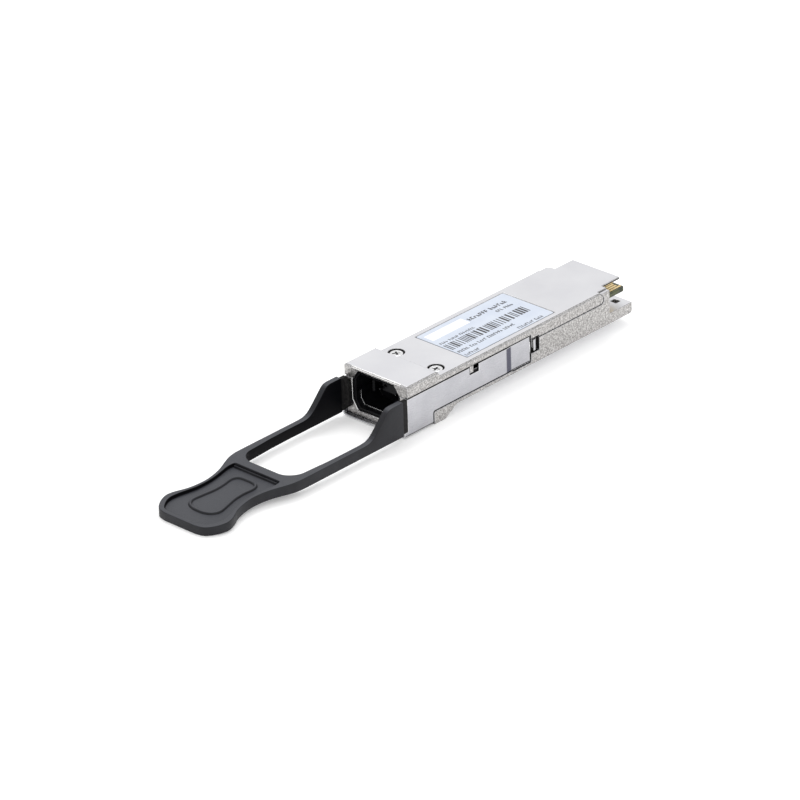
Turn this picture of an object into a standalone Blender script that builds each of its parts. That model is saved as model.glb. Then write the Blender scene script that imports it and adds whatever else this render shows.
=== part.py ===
"""Pluggable optical transceiver module with an MPO port and a pull tab.

Sizes below are in millimetres and are turned into metres as shapes are made.
Module frame: X across the width, Y along the length (nose face at y = 0, card
edge towards +Y), Z up from the housing's underside. The whole assembly hangs
from an empty that puts the centre of its bounding box's bottom at the origin.
"""

import math

import bmesh
import bpy
from mathutils import Vector

MM = 0.001

# Housing envelope
HALF_W = 9.175            # half of the 18.35 mm body width
BODY_TOP = 8.5
BODY_END = 72.4           # rear edge of the base shelf
NOSE_TOP = 9.75
NOSE_END = 9.5            # where the raised nose starts to step down
STEP_END = 10.4
FOOT_Z = -2.25            # lowest point, under the nose
NOSE_SEAM = 6.85          # joint line between base and cover at the nose
SIDE_SEAM = 5.7           # joint line along the body
SEAM_GAP = 0.06
POST_Y = (62.8, 65.0)     # upright lugs of the base beside the cover's tongue
POST_TOP = 8.2
POST_IN = 8.3             # inner faces of the lugs
SHELF_TOP = 2.55
TONGUE_HALF_W = 6.84
TONGUE_END = 71.0
TONGUE_Z = 7.9            # underside of the tongue
ROOF_Z = 7.8              # inside of the cover over the board
FLOOR_Z = 1.1             # inside of the base
CAVITY_HALF_W = 6.3

# MPO port in the nose
PORT_HALF_W = 6.95
PORT_Z = (-0.35, 9.05)
PORT_DEPTH = 9.0
PORT_MID_Z = 4.35

# Circuit board
CARD_Z = (5.47, 6.47)
CARD_HALF_W = 8.2         # paddle end
BOARD_HALF_W = 6.6        # inside the housing
BOARD_START = 19.0
CARD_END = 71.2
CARD_NECK = 58.8          # where the board widens to the paddle
PAD_COUNT = 19
PAD_PITCH = 0.8

# Release latch
LATCH_OUT = 9.125
LATCH_T = 0.4
RECESS_X = 8.65           # floor of the housing's side recesses
LATCH_END = 38.85
LATCH_Z = (1.05, 6.85)
STRAP_Z = -2.05
LATCH_TRAVEL = 0.9
NOTCH_Y = (19.5, 22.5)
LUG_Y = 32.0              # lug that pushes the return spring

# Pull tab
TAB_TOP = 1.5
TAB_LOW = -0.95
TAB_END = -59.2
TAB_BEND_Y = -34.0        # the grip slopes down beyond this line
TAB_SLOPE = 0.058
TAB_THINNING = 0.2        # the underside sinks this much less than the top
ARM_X = (8.25, 9.75)
ARM_END = -1.9
ARM_TOP = 7.15
NECK_OUT = 9.3            # outside of the arm's thin root, just proud of the latch
RIM_DROP = 0.85           # depth of the grip's sunk panel
BEAD_WIDTH = 0.5
BEAD_HEIGHT = 0.3

# Screws
SCREW_XY = (5.75, 12.65)

ORIGIN_Y = -(BODY_END + TAB_END) / 2
ORIGIN_Z = -FOOT_Z


# ---------------------------------------------------------------- scene setup

def clear_scene():
    for obj in list(bpy.data.objects):
        bpy.data.objects.remove(obj, do_unlink=True)


def make_empty(name, location, parent=None):
    empty = bpy.data.objects.new(name, None)
    empty.empty_display_size = 0.005
    empty.location = Vector(location) * MM
    empty.parent = parent
    bpy.context.scene.collection.objects.link(empty)
    return empty


def make_material(name, color, roughness, metallic=0.0):
    material = bpy.data.materials.new(name)
    material.use_nodes = True
    shader = material.node_tree.nodes["Principled BSDF"]
    shader.inputs["Base Color"].default_value = (*color, 1.0)
    shader.inputs["Roughness"].default_value = roughness
    shader.inputs["Metallic"].default_value = metallic
    material.diffuse_color = (*color, 1.0)
    return material


# ------------------------------------------------------------- shape builders

def object_of(name, mesh_data):
    """A new object from a bmesh whose points are in millimetres."""
    bmesh.ops.recalc_face_normals(mesh_data, faces=mesh_data.faces)
    bmesh.ops.scale(mesh_data, vec=(MM, MM, MM), verts=mesh_data.verts)
    mesh = bpy.data.meshes.new(name)
    mesh_data.to_mesh(mesh)
    mesh_data.free()
    obj = bpy.data.objects.new(name, mesh)
    bpy.context.scene.collection.objects.link(obj)
    return obj


def prism(name, axis, outline, low, high):
    """An outline in the plane across an axis, pushed from low to high along it.

    The outline's pairs are (y, z) for X, (x, z) for Y and (x, y) for Z.
    """
    place = {
        "X": lambda a, b, c: (c, a, b),
        "Y": lambda a, b, c: (a, c, b),
        "Z": lambda a, b, c: (a, b, c),
    }[axis]
    shape = bmesh.new()
    base = [shape.verts.new(place(a, b, low)) for a, b in outline]
    face = shape.faces.new(base)
    grown = bmesh.ops.extrude_face_region(shape, geom=[face])
    moved = [v for v in grown["geom"] if isinstance(v, bmesh.types.BMVert)]
    bmesh.ops.translate(shape, vec=place(0, 0, high - low), verts=moved)
    return object_of(name, shape)


def box(name, x, y, z):
    return prism(name, "Z", [(x[0], y[0]), (x[1], y[0]), (x[1], y[1]), (x[0], y[1])], *z)


def circle(centre, radius, count, start=0.0):
    return [
        (
            centre[0] + radius * math.cos(start + 2 * math.pi * i / count),
            centre[1] + radius * math.sin(start + 2 * math.pi * i / count),
        )
        for i in range(count)
    ]


def arc(centre, radius, from_deg, to_deg, count):
    angles = [math.radians(from_deg + (to_deg - from_deg) * i / count) for i in range(count + 1)]
    return [(centre[0] + radius * math.cos(a), centre[1] + radius * math.sin(a)) for a in angles]


def mirrored(points):
    """Right-hand points, listed from one end of the centre line to the other, closed by their mirror."""
    return points + [(-x, y) for x, y in reversed(points)]


def smooth_through(points, steps):
    """A Catmull-Rom curve through the points."""
    ends = [points[0]] + list(points) + [points[-1]]
    curve = []
    for a, b, c, d in zip(ends, ends[1:], ends[2:], ends[3:]):
        for i in range(steps):
            t = i / steps
            curve.append(
                tuple(
                    0.5 * (2 * q + (r - p) * t + (2 * p - 5 * q + 4 * r - s) * t * t
                           + (3 * q - p - 3 * r + s) * t ** 3)
                    for p, q, r, s in zip(a, b, c, d)
                )
            )
    curve.append(tuple(points[-1]))
    return curve


def combine(target, tool, operation):
    """Boolean applied to the target at once; the tool is used up."""
    modifier = target.modifiers.new("cut", "BOOLEAN")
    modifier.operation = operation
    modifier.solver = "EXACT"
    modifier.object = tool
    bpy.context.view_layer.update()
    graph = bpy.context.evaluated_depsgraph_get()
    mesh = bpy.data.meshes.new_from_object(target.evaluated_get(graph))
    target.modifiers.remove(modifier)
    target.data = mesh
    bpy.data.objects.remove(tool, do_unlink=True)


def cut(target, *tools):
    for tool in tools:
        combine(target, tool, "DIFFERENCE")


def add(target, *tools):
    for tool in tools:
        combine(target, tool, "UNION")


def both_sides(make, *args):
    """The piece made at +X and its twin at -X."""
    return [make(side, *args) for side in (1, -1)]


def side_box(side, x, y, z):
    low, high = sorted((side * x[0], side * x[1]))
    return box("tool", (low, high), y, z)


def smooth(obj, angle=35):
    obj.data.shade_smooth()
    obj.data.set_sharp_from_angle(angle=math.radians(angle))


# ------------------------------------------------------------------- housing

def port_outline(inset=0.0):
    """The nose opening: a flat-topped port with its corners cut off."""
    x = PORT_HALF_W - inset
    low, high = PORT_Z[0] + inset, PORT_Z[1] - inset
    return mirrored([
        (5.5 - inset * 0.5, low),
        (x, 2.0),
        (x, 6.6),
        (5.2 - inset * 0.5, high),
    ])


def cavity_outline(half_width):
    """Plan of the hollow: narrow past the screw bosses, then full width."""
    return mirrored([(4.2, 8.5), (4.2, 14.5), (half_width, 14.5), (half_width, 62.0)])


def pocket_outline():
    """Plan of the ledge that the circuit board lies on."""
    inner = BOARD_HALF_W + 0.15
    return mirrored([(inner, 15.0), (inner, CARD_NECK - 0.3), (POST_IN, CARD_NECK - 0.3), (POST_IN, 66.0)])


def latch_recess(side):
    """Sunk panel in the housing's side that the latch plate slides in."""
    outline = [(-1, -3), (8.12, -3), (8.12, 0.45), (8.6, 0.95), (39.1, 0.95), (39.1, 6.9), (-1, 6.9)]
    low, high = sorted((side * RECESS_X, side * 10))
    return prism("tool", "X", outline, low, high)


def edge_cutter(side, x, z, size, y):
    """Triangular bar that chamfers a long edge at (x, z)."""
    outline = [(side * (x - size), z + 0.1 * size), (side * (x + 1), z + 0.1 * size),
               (side * (x + 1), z - size - 1), (side * x, z - size)]
    return prism("tool", "Y", outline, *y)


def make_bottom_housing(material):
    profile = [
        (0, -1.58), (8.12, -1.58), (8.12, FOOT_Z), (11.4, FOOT_Z), (15.4, 0), (71.9, 0),
        (BODY_END, 0.5), (BODY_END, SHELF_TOP), (POST_Y[1], SHELF_TOP), (POST_Y[1], POST_TOP),
        (POST_Y[0], POST_TOP), (POST_Y[0], SIDE_SEAM), (10.0, SIDE_SEAM), (10.0, NOSE_SEAM),
        (0, NOSE_SEAM),
    ]
    base = prism("bottom_housing", "X", profile, -HALF_W, HALF_W)
    cut(base, prism("tool", "Y", port_outline(), -1, PORT_DEPTH))
    cut(base, prism("tool", "Z", cavity_outline(CAVITY_HALF_W), FLOOR_Z, 10))
    cut(base, prism("tool", "Z", pocket_outline(), CARD_Z[0] - 0.05, 10))
    cut(base, *both_sides(latch_recess))
    cut(base, *both_sides(side_box, (8.0, 10), (37.7, 41.85), (2.6, SIDE_SEAM + 0.5)))
    cut(base, *both_sides(side_box, (7.1, 10), (24.0, 33.0), (3.0, 4.6)))
    cut(base, *both_sides(side_box, (7.45, 8.05), (16.0, 57.0), (5.2, 6.0)))
    cut(base, *both_sides(side_box, (5.2, 6.95), (69.65, 71.1), (-1, 3)))
    for side in (1, -1):
        centre = (side * SCREW_XY[0], SCREW_XY[1])
        cut(base, prism("tool", "Z", circle(centre, 0.75, 16), 1.4, 7))
        lip = [(side * 8.0, -1.5), (side * 10, -1.5), (side * 10, -0.9), (side * RECESS_X, -0.9)]
        cut(base, prism("tool", "Y", [(x, z - 0.35) for x, z in lip], -1, 8.12))
    pedestal = box("tool", (-3.2, 3.2), (24.8, 28.2), (FLOOR_Z - 0.3, 3.6))
    add(base, pedestal)
    base.data.materials.clear()
    base.data.materials.append(material)
    return base


def make_top_housing(material):
    profile = [
        (0, NOSE_SEAM + SEAM_GAP), (10.06, NOSE_SEAM + SEAM_GAP), (10.06, SIDE_SEAM + SEAM_GAP),
        (POST_Y[0] - SEAM_GAP, SIDE_SEAM + SEAM_GAP), (POST_Y[0] - SEAM_GAP, BODY_TOP),
        (STEP_END, BODY_TOP), (NOSE_END, NOSE_TOP), (0.25, NOSE_TOP), (0, NOSE_TOP - 0.25),
    ]
    cover = prism("top_housing", "X", profile, -HALF_W, HALF_W)
    rear_inner = POST_IN - SEAM_GAP
    add(cover, box("tool", (-rear_inner, rear_inner), (60, POST_Y[1]), (TONGUE_Z, BODY_TOP)))
    add(cover, box("tool", (-TONGUE_HALF_W, TONGUE_HALF_W), (60, TONGUE_END), (TONGUE_Z, BODY_TOP)))
    cut(cover, prism("tool", "Y", port_outline(), -1, PORT_DEPTH))
    cut(cover, prism("tool", "Z", cavity_outline(BOARD_HALF_W + 0.15), 3, ROOF_Z))
    cut(cover, box("tool", (-POST_IN, POST_IN), (CARD_NECK - 0.3, 80), (3, TONGUE_Z)))
    cut(cover, *both_sides(latch_recess))
    cut(cover, *both_sides(side_box, (8.0, 10), (37.7, 41.85), (2.6, SIDE_SEAM + 0.5)))
    add(cover, *both_sides(side_box, (8.4, 9.12), (NOTCH_Y[0] + 0.1, NOTCH_Y[1] - LATCH_TRAVEL), (5.8, 7.2)))
    add(cover, *both_sides(side_box, (8.72, 9.12), (NOTCH_Y[0] + 0.1, NOTCH_Y[1] - LATCH_TRAVEL), (5.4, 6.5)))
    for side in (1, -1):
        centre = (side * SCREW_XY[0], SCREW_XY[1])
        cut(cover, prism("tool", "Z", circle(centre, 1.85, 32), 7.4, 10))
        cut(cover, prism("tool", "Z", circle(centre, 0.9, 16), 4, 8))
        cut(cover, edge_cutter(side, HALF_W, BODY_TOP, 0.3, (STEP_END, 62.9)))
        cut(cover, edge_cutter(side, HALF_W, NOSE_TOP, 0.35, (-1, NOSE_END)))
    cut(cover, box("tool", (-7.6, 7.6), (20.5, 48.7), (BODY_TOP - 0.14, 9)))
    cover.data.materials.clear()
    cover.data.materials.append(material)
    return cover


def make_screw(name, side, material):
    """Flat-head machine screw with a crossed drive recess."""
    centre = (side * SCREW_XY[0], SCREW_XY[1])
    head_z = (7.45, 8.15)
    screw = prism(name, "Z", circle(centre, 1.6, 32), *head_z)
    add(screw, prism("tool", "Z", circle(centre, 0.7, 16), 1.6, 7.8))
    arms = []
    for turn in (20, 110):
        a = math.radians(turn + (0 if side > 0 else 35))
        along = Vector((math.cos(a), math.sin(a))) * 0.85
        across = Vector((-math.sin(a), math.cos(a))) * 0.17
        corners = [along + across, -along + across, -along - across, along - across]
        outline = [(centre[0] + c.x, centre[1] + c.y) for c in corners]
        arms.append(prism("tool", "Z", outline, 7.75, 9))
    cut(screw, *arms)
    screw.data.materials.clear()
    screw.data.materials.append(material)
    smooth(screw)
    return screw


# --------------------------------------------------------------------- latch

def latch_plate(side):
    """One side of the latch, cut from sheet, with its tang, notch and bottom leg."""
    outline = [
        (0, -1.0), (7.9, -1.0), (7.9, 0.55), (8.4, LATCH_Z[0]), (LATCH_END, LATCH_Z[0]),
        (LATCH_END, LATCH_Z[1]), (NOTCH_Y[1], LATCH_Z[1]), (NOTCH_Y[1], 5.0), (NOTCH_Y[0], 5.0),
        (NOTCH_Y[0], LATCH_Z[1]), (0, LATCH_Z[1]), (0, 5.5), (-6.0, 5.5), (-6.0, 1.5), (0, 1.5),
    ]
    low, high = sorted((side * LATCH_OUT, side * (LATCH_OUT - LATCH_T)))
    return prism("tool", "X", outline, low, high)


def latch_hook(side):
    """Rear tongue: bends into the housing, then kicks back out to a tip."""
    outline = [
        (9.125, 38.5), (9.125, 38.85), (8.62, 39.2), (8.62, 39.95), (9.1, 40.1), (9.1, 40.65),
        (8.75, 40.65), (8.22, 40.3), (8.22, 39.1), (8.725, 38.75), (8.725, 38.5),
    ]
    return prism("tool", "Z", [(side * x, y) for x, y in outline], 2.95, 5.55)


def make_release_latch(material):
    """Sheet-metal slider: two side plates joined by a strap under the nose."""
    outer = LATCH_OUT
    inner = LATCH_OUT - LATCH_T
    right = [(outer, -0.8)] + arc((outer - 0.7, STRAP_Z + 0.7), 0.7, 0, -90, 5)
    inside = arc((inner - 0.3, STRAP_Z + LATCH_T + 0.3), 0.3, -90, 0, 5) + [(inner, -0.8)]
    outline = right + [(-x, z) for x, z in reversed(right)]
    outline += [(-x, z) for x, z in reversed(inside)] + inside
    latch = prism("release_latch", "Y", outline, 0, 7.9)
    add(latch, *both_sides(latch_plate))
    add(latch, *both_sides(latch_hook))
    add(latch, *both_sides(side_box, (7.2, 8.9), (LUG_Y, LUG_Y + 0.4), (3.15, 4.45)))
    latch.data.materials.clear()
    latch.data.materials.append(material)
    return latch


def make_spring(name, side, material):
    """Compression coil in its channel, between the channel's front wall and the latch's lug."""
    radius, wire, turns, per_turn, ring = 0.56, 0.11, 9, 14, 6
    y_start, y_end = 24.18, LUG_Y - 0.18
    centre_x, centre_z = side * 7.88, 3.8
    shape = bmesh.new()
    rings = []
    total = turns * per_turn
    for i in range(total + 1):
        turn = 2 * math.pi * i / per_turn
        y = y_start + (y_end - y_start) * i / total
        outward = Vector((math.cos(turn), 0, math.sin(turn)))
        middle = Vector((centre_x, y, centre_z)) + outward * radius
        ring_verts = []
        for j in range(ring):
            a = 2 * math.pi * j / ring
            offset = outward * math.cos(a) * wire + Vector((0, 1, 0)) * math.sin(a) * wire
            ring_verts.append(shape.verts.new(middle + offset))
        rings.append(ring_verts)
    for first, second in zip(rings, rings[1:]):
        for j in range(ring):
            k = (j + 1) % ring
            shape.faces.new((first[j], first[k], second[k], second[j]))
    shape.faces.new(rings[0])
    shape.faces.new(list(reversed(rings[-1])))
    spring = object_of(name, shape)
    spring.data.materials.append(material)
    smooth(spring, 60)
    return spring


# ------------------------------------------------------------------ pull tab

def tab_outline():
    """Right-hand half of the tab's plan, from the front edge to the arms' root."""
    side = [
        (4.3, TAB_END), (6.2, -58.8), (7.4, -57.9), (8.5, -56.3), (9.05, -54.8), (9.15, -53.7),
        (8.85, -52.5), (8.3, -51.3), (7.55, -49.8), (6.95, -47.8), (6.62, -45.2), (6.8, -42.7),
        (7.45, -40.0), (8.45, -37.6), (9.3, -35.4), (9.68, -33.2), (ARM_X[1], -30.5),
    ]
    return smooth_through(side, 3) + [(ARM_X[1], -14.0)]


def finger_hole_outline():
    """Right-hand half of the finger opening, from its front edge to the arms' root."""
    corner = arc((3.8, -30.0), 4.0, -90, -8, 7)
    return corner + [(7.95, -27.0), (8.15, -24.0), (ARM_X[0], -19.0), (ARM_X[0], -8.0)]


def grip_panel_outline():
    """Right-hand half of the sunk panel inside the grip's rim."""
    side = [
        (3.7, TAB_END + 0.8), (5.6, -57.9), (6.7, -56.8), (7.5, -55.3), (7.75, -53.9), (7.4, -52.0),
        (6.7, -49.8), (6.15, -47.8), (5.9, -45.2), (6.0, -42.8), (6.4, -40.2), (6.75, -38.1),
        (6.62, -36.6), (6.3, -36.2),
    ]
    return smooth_through(side, 3)


def bead_outline(inset):
    """Right-hand half of the raised line that rings the thumb pad, shrunk by inset."""
    points = [
        (0.5, -53.95 + inset), (1.5, -53.9 + inset), (3.2, -53.3 + inset), (4.1 - inset, -52.1),
        (4.25 - inset, -50.8), (3.75 - inset, -48.4), (3.3 - inset, -46.0), (3.25 - inset, -43.6),
        (3.55 - inset, -41.3), (3.3 - inset, -39.9 - 0.5 * inset), (2.2, -39.05 - inset), (0.5, -38.8 - inset),
    ]
    return smooth_through(points, 2)


def arm_profile(side_x):
    """Side view of one arm: low along the finger opening, then up to the nose."""
    rise = [
        (-14.5, TAB_TOP), (-12.8, 1.6), (-11.4, 2.1), (-10.2, 3.05), (-9.0, 4.25), (-7.8, 5.5),
        (-6.7, 6.6), (-6.0, 7.0), (-5.2, ARM_TOP),
    ]
    outline = [(-26.0, TAB_LOW), (ARM_END, TAB_LOW), (ARM_END, ARM_TOP)]
    outline += list(reversed(smooth_through(rise, 3))) + [(-26.0, TAB_TOP)]
    return prism("tool", "X", outline, *side_x)


def slope_grip(tab):
    """Lowers the grip beyond the bend, its underside a little less than its top."""
    middle = (TAB_TOP - RIM_DROP + TAB_LOW) / 2
    for vertex in tab.data.vertices:
        sink = max(0, TAB_BEND_Y - vertex.co.y / MM) * TAB_SLOPE
        if vertex.co.z / MM < middle:
            sink = max(0, sink - TAB_THINNING)
        vertex.co.z -= sink * MM


def make_pull_tab(material):
    tab = prism("pull_tab", "Z", mirrored(tab_outline()), TAB_LOW, TAB_TOP)
    cut(tab, prism("tool", "Z", mirrored(finger_hole_outline()), TAB_LOW - 1, TAB_TOP + 1))
    for side in (1, -1):
        add(tab, arm_profile(sorted((side * ARM_X[0], side * ARM_X[1]))))
        neck = [(ARM_END - 0.5, TAB_LOW + 0.1), (-0.15, TAB_LOW + 0.1), (-0.15, 6.9), (ARM_END - 0.5, 6.9)]
        add(tab, prism("tool", "X", neck, *sorted((side * ARM_X[0], side * NECK_OUT))))
        flange = [(6.95, 0.45), (8.5, 0.45), (8.5, 6.9), (8.3, 6.9), (6.95, 5.1)]
        add(tab, prism("tool", "Y", [(side * x, z) for x, z in flange], -1.3, -0.15))
        cut(tab, side_box(side, (8.675, 9.175), (-6.1, 0.5), (1.45, 5.55)))
    floor = TAB_TOP - RIM_DROP
    cut(tab, prism("tool", "Z", mirrored(grip_panel_outline()), floor, TAB_TOP + 1))
    bead = prism("tool", "Z", mirrored(bead_outline(0)), floor - 0.2, floor + BEAD_HEIGHT)
    cut(bead, prism("tool", "Z", mirrored(bead_outline(BEAD_WIDTH)), floor - 1, TAB_TOP))
    add(tab, bead)
    slope_grip(tab)
    tab.data.materials.clear()
    tab.data.materials.append(material)
    smooth(tab, 30)
    return tab


# ------------------------------------------------------------------- optics

def make_receptacle(material):
    """Port liner that takes the cable's plug: a sleeve, a back wall and two snap hooks."""
    liner = prism("mpo_receptacle", "Y", port_outline(0.06), 0.35, 8.9)
    cavity = mirrored([(5.2, 0.35), (6.2, 1.8), (6.2, 6.8), (4.9, 8.35)])
    cut(liner, prism("tool", "Y", cavity, -1, 7.4))
    cut(liner, box("tool", (-3.3, 3.3), (7, 10), (PORT_MID_Z - 1.35, PORT_MID_Z + 1.35)))
    for side in (1, -1):
        hook = [(4.6, 3.7), (5.0, 4.3), (4.8, 4.9), (4.8, 8.0), (4.1, 8.0), (4.1, 4.1)]
        add(liner, prism("tool", "Z", [(side * x, y) for x, y in hook], 3.0, 5.7))
    liner.data.materials.clear()
    liner.data.materials.append(material)
    return liner


def make_ferrule(material):
    """Multi-fibre ferrule with a shoulder and two guide-pin holes."""
    z = PORT_MID_Z
    ferrule = box("mt_ferrule", (-3.2, 3.2), (5.4, 13.4), (z - 1.25, z + 1.25))
    add(ferrule, box("tool", (-3.8, 3.8), (9.0, 10.2), (z - 1.6, z + 1.6)))
    for side in (1, -1):
        hole = circle((side * 2.3, z), 0.38, 16)
        cut(ferrule, prism("tool", "Y", hole, 5, 14))
    ferrule.data.materials.clear()
    ferrule.data.materials.append(material)
    return ferrule


def make_guide_pin(name, side, material):
    """Round pin with a tapered tip that lines up the mating ferrule."""
    shape = bmesh.new()
    radius, count = 0.34, 16
    stations = [(3.5, 0.12), (3.8, 0.28), (4.2, radius), (13.9, radius)]
    rings = []
    for y, r in stations:
        rings.append([shape.verts.new((x, y, z)) for x, z in circle((side * 2.3, PORT_MID_Z), r, count)])
    for first, second in zip(rings, rings[1:]):
        for j in range(count):
            k = (j + 1) % count
            shape.faces.new((first[j], first[k], second[k], second[j]))
    shape.faces.new(rings[0])
    shape.faces.new(list(reversed(rings[-1])))
    pin = object_of(name, shape)
    pin.data.materials.append(material)
    smooth(pin)
    return pin


def framed_plate(name, half_w, half_h, y, window, material):
    """Upright plate with a window, centred on the port's axis."""
    z = PORT_MID_Z
    plate = box(name, (-half_w, half_w), y, (z - half_h, z + half_h))
    cut(plate, box("tool", (-window[0], window[0]), (y[0] - 1, y[1] + 1), (z - window[1], z + window[1])))
    plate.data.materials.clear()
    plate.data.materials.append(material)
    return plate


def make_fibre_ribbon(material):
    """Flat ribbon from the ferrule's back, in a gentle rise to the lens block."""
    half_w, half_t = 1.55, 0.15
    y_start, y_end, z_start, z_end = 13.45, 21.9, PORT_MID_Z, 4.6
    steps = 12
    centre = []
    for i in range(steps + 1):
        t = i / steps
        centre.append((y_start + (y_end - y_start) * t, z_start + (z_end - z_start) * t * t * (3 - 2 * t)))
    outline = [(y, z - half_t) for y, z in centre] + [(y, z + half_t) for y, z in reversed(centre)]
    ribbon = prism("fibre_ribbon", "X", outline, -half_w, half_w)
    ribbon.data.materials.append(material)
    return ribbon


def make_lens_block(material):
    """Moulded turning optic that bridges the dies and holds the ribbon's end."""
    top = CARD_Z[0] - 0.05
    outline = [
        (22.0, 4.0), (24.6, 4.0), (25.6, 4.9), (25.6, top), (25.0, top), (25.0, 5.05),
        (22.9, 5.05), (22.9, top), (22.0, top),
    ]
    block = prism("lens_block", "X", outline, -2.6, 2.6)
    block.data.materials.append(material)
    return block


# --------------------------------------------------------------- electronics

def make_board(material):
    outline = mirrored([
        (BOARD_HALF_W, BOARD_START), (BOARD_HALF_W, CARD_NECK), (CARD_HALF_W, CARD_NECK),
        (CARD_HALF_W, CARD_END - 0.5), (CARD_HALF_W - 0.5, CARD_END),
    ])
    board = prism("circuit_board", "Z", outline, *CARD_Z)
    board.data.materials.append(material)
    return board


def make_contact_row(name, z, material):
    """One face's row of edge contacts, kept as one comb by its plating bar."""
    width, front, rear = 0.54, 66.0, 70.9
    first = -(PAD_COUNT - 1) / 2 * PAD_PITCH
    outline = [(first - width / 2, front - 0.4)]
    for i in range(PAD_COUNT):
        x = first + i * PAD_PITCH
        outline += [(x - width / 2, front), (x - width / 2, rear), (x + width / 2, rear), (x + width / 2, front)]
    outline.append((-first + width / 2, front - 0.4))
    row = prism(name, "Z", outline, *z)
    row.data.materials.append(material)
    return row


def make_block(name, x, y, z, material):
    piece = box(name, x, y, z)
    piece.data.materials.append(material)
    return piece


def make_parts_on_board(dark, tan, green_grey):
    """Chips and passives. The optical dies hang under the board, the rest stands on it."""
    under = CARD_Z[0] - 0.05
    over = CARD_Z[1] + 0.05
    pieces = [
        make_block("vcsel_array", (-1.7, -0.6), (23.7, 24.1), (under - 0.2, under), tan),
        make_block("photodiode_array", (0.6, 1.7), (23.7, 24.1), (under - 0.2, under), tan),
        make_block("laser_driver_chip", (-2.7, -0.2), (26.0, 28.0), (under - 0.5, under), dark),
        make_block("receiver_chip", (0.2, 2.7), (26.0, 28.0), (under - 0.5, under), dark),
        make_block("microcontroller", (-2.5, 2.5), (38.0, 43.0), (over, over + 0.85), dark),
        make_block("voltage_regulator", (-4.6, -1.6), (46.5, 49.5), (over, over + 0.75), dark),
        make_block("power_inductor", (1.2, 3.7), (46.8, 48.8), (over, over + 1.0), green_grey),
    ]
    for i in range(4):
        x = -3.6 + 2.4 * i
        name = f"coupling_capacitor_{i + 1}"
        pieces.append(make_block(name, (x - 0.4, x + 0.4), (59.4, 61.0), (over, over + 0.8), tan))
    return pieces


# ------------------------------------------------------------------ assembly

def main():
    clear_scene()
    die_cast = make_material("nickel_plated_zinc", (0.72, 0.71, 0.70), 0.34, 1.0)
    stainless = make_material("polished_stainless", (0.60, 0.60, 0.62), 0.2, 1.0)
    tab_plastic = make_material("black_tab_plastic", (0.032, 0.032, 0.036), 0.55)
    liner_plastic = make_material("black_liner_plastic", (0.012, 0.012, 0.013), 0.4)
    spring_wire = make_material("spring_wire", (0.55, 0.55, 0.56), 0.28, 1.0)
    board_green = make_material("board_laminate", (0.05, 0.16, 0.07), 0.45)
    gold = make_material("contact_gold", (0.83, 0.66, 0.34), 0.25, 1.0)
    chip_black = make_material("chip_resin", (0.03, 0.03, 0.03), 0.5)
    chip_tan = make_material("chip_ceramic", (0.45, 0.34, 0.22), 0.4)
    ferrite = make_material("ferrite", (0.14, 0.14, 0.14), 0.55)
    amber = make_material("optical_resin", (0.55, 0.30, 0.08), 0.15)
    ferrule_resin = make_material("ferrule_resin", (0.06, 0.06, 0.065), 0.35)
    fibre = make_material("ribbon_acrylate", (0.10, 0.45, 0.52), 0.4)
    pad_grey_blue = make_material("gap_filler", (0.55, 0.62, 0.68), 0.8)
    gasket = make_material("conductive_elastomer", (0.30, 0.30, 0.31), 0.7)
    paper = make_material("label_film", (0.85, 0.89, 0.95), 0.35)

    housing_pieces = [
        make_bottom_housing(die_cast),
        make_top_housing(die_cast),
        make_screw("cover_screw_right", 1, stainless),
        make_screw("cover_screw_left", -1, stainless),
        make_spring("latch_spring_right", 1, spring_wire),
        make_spring("latch_spring_left", -1, spring_wire),
        make_receptacle(liner_plastic),
        make_ferrule(ferrule_resin),
        make_guide_pin("guide_pin_right", 1, stainless),
        make_guide_pin("guide_pin_left", -1, stainless),
        framed_plate("ferrule_retainer", 4.1, 1.9, (10.25, 10.85), (3.25, 1.3), stainless),
        make_fibre_ribbon(fibre),
        make_lens_block(amber),
        make_board(board_green),
        make_contact_row("contact_row_top", (CARD_Z[1] + 0.01, CARD_Z[1] + 0.06), gold),
        make_contact_row("contact_row_bottom", (CARD_Z[0] - 0.06, CARD_Z[0] - 0.01), gold),
        make_block("thermal_pad", (-3.0, 3.0), (25.7, 28.1), (3.65, 4.87), pad_grey_blue),
        make_block("board_cushion", (-5.0, 5.0), (52.0, 56.0), (6.52, ROOF_Z - 0.05), gasket),
        make_block("emi_gasket_right", (7.5, 8.0), (16.1, 56.9), (5.25, 5.72), gasket),
        make_block("emi_gasket_left", (-8.0, -7.5), (16.1, 56.9), (5.25, 5.72), gasket),
        make_block("label", (-7.45, 7.45), (20.65, 48.55), (BODY_TOP - 0.12, BODY_TOP - 0.02), paper),
    ]
    housing_pieces += make_parts_on_board(chip_black, chip_tan, ferrite)
    latch_pieces = [make_release_latch(stainless), make_pull_tab(tab_plastic)]

    module = make_empty("module_frame", (0, ORIGIN_Y, ORIGIN_Z))
    slide_height = 3.0
    latch_axis = make_empty("latch_slide_axis", (0, 0, slide_height), module)
    for piece in housing_pieces:
        piece.parent = module
    for piece in latch_pieces:
        piece.data.transform(latch_axis.matrix_basis.inverted())
        piece.parent = latch_axis


main()
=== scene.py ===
"""Looks for a pluggable optical transceiver module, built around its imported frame.

Shapes are written in millimetres in the module's own frame: X across the width,
Y along the length with the nose face at y = 0 and the card edge towards +Y, Z up
from the housing's underside. new_object() puts them into the row frame in metres.
"""

import math
import random

import bmesh
import bpy
from mathutils import Matrix, Vector


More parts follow.
